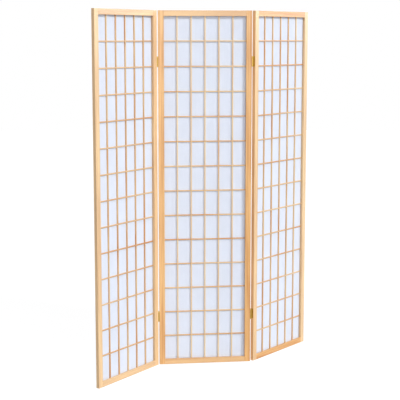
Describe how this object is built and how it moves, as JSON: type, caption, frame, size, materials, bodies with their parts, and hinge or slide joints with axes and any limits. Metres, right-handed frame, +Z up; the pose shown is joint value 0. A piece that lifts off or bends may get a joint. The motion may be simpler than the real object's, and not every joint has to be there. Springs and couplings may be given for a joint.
{
  "type": "folding screen",
  "caption": "Free-standing folding screen of hinged wooden lattice panels backed with translucent white paper, zigzag when standing and flat when stored.",
  "frame": {"origin": "on the floor, at the middle of the standing screen's bounding box", "axes": "+X along the middle panel to the viewer's right, +Y from its front face to its back, +Z up"},
  "size_m": [1.134, 0.6826, 1.76],
  "materials": {
    "pine_frame": "clear satin lacquer on pine",
    "pine_lattice": "clear satin lacquer on pine",
    "shoji_paper": "matt white fibre paper",
    "brass": "plated, satin",
    "brass_pin": "plated, satin"
  },
  "bodies": {
    "middle_panel": {"left_lower_hinge_inner_leaf": "brass", "left_upper_hinge_inner_leaf": "brass", "middle_bottom_rail": "pine_frame", "middle_crossbars": "pine_lattice", "middle_left_stile": "pine_frame", "middle_paper": "shoji_paper", "middle_paper_strips": "pine_lattice", "middle_right_stile": "pine_frame", "middle_top_rail": "pine_frame", "middle_upright_1": "pine_lattice", "middle_upright_2": "pine_lattice", "middle_upright_3": "pine_lattice", "middle_upright_4": "pine_lattice", "middle_upright_5": "pine_lattice", "right_lower_hinge_inner_leaf": "brass", "right_upper_hinge_inner_leaf": "brass"},
    "left_hinge_link": {"left_lower_hinge_link": "brass", "left_lower_hinge_pins": "brass_pin", "left_upper_hinge_link": "brass", "left_upper_hinge_pins": "brass_pin"},
    "left_panel": {"left_bottom_rail": "pine_frame", "left_crossbars": "pine_lattice", "left_left_stile": "pine_frame", "left_lower_hinge_outer_leaf": "brass", "left_paper": "shoji_paper", "left_paper_strips": "pine_lattice", "left_right_stile": "pine_frame", "left_top_rail": "pine_frame", "left_upper_hinge_outer_leaf": "brass", "left_upright_1": "pine_lattice", "left_upright_2": "pine_lattice", "left_upright_3": "pine_lattice", "left_upright_4": "pine_lattice", "left_upright_5": "pine_lattice"},
    "right_hinge_link": {"right_lower_hinge_link": "brass", "right_lower_hinge_pins": "brass_pin", "right_upper_hinge_link": "brass", "right_upper_hinge_pins": "brass_pin"},
    "right_panel": {"right_bottom_rail": "pine_frame", "right_crossbars": "pine_lattice", "right_left_stile": "pine_frame", "right_lower_hinge_outer_leaf": "brass", "right_paper": "shoji_paper", "right_paper_strips": "pine_lattice", "right_right_stile": "pine_frame", "right_top_rail": "pine_frame", "right_upper_hinge_outer_leaf": "brass", "right_upright_1": "pine_lattice", "right_upright_2": "pine_lattice", "right_upright_3": "pine_lattice", "right_upright_4": "pine_lattice", "right_upright_5": "pine_lattice"}
  },
  "joints": [
    {"name": "left_back_pin", "type": "hinge", "parent": "middle_panel", "child": "left_hinge_link", "pos_m": [-0.24416, 0.02075, 0.88], "axis": [0, 0, 1], "range_deg": [-90, 0]},
    {"name": "left_front_pin", "type": "hinge", "parent": "left_hinge_link", "child": "left_panel", "pos_m": [-0.24416, 0.00175, 0.88], "axis": [0, 0, 1], "range_deg": [-48, 132]},
    {"name": "right_front_pin", "type": "hinge", "parent": "middle_panel", "child": "right_hinge_link", "pos_m": [0.22184, 0.00175, 0.88], "axis": [0, 0, 1], "range_deg": [-90, 0]},
    {"name": "right_back_pin", "type": "hinge", "parent": "right_hinge_link", "child": "right_panel", "pos_m": [0.22184, 0.02075, 0.88], "axis": [0, 0, 1], "range_deg": [-44, 136]}
  ]
}
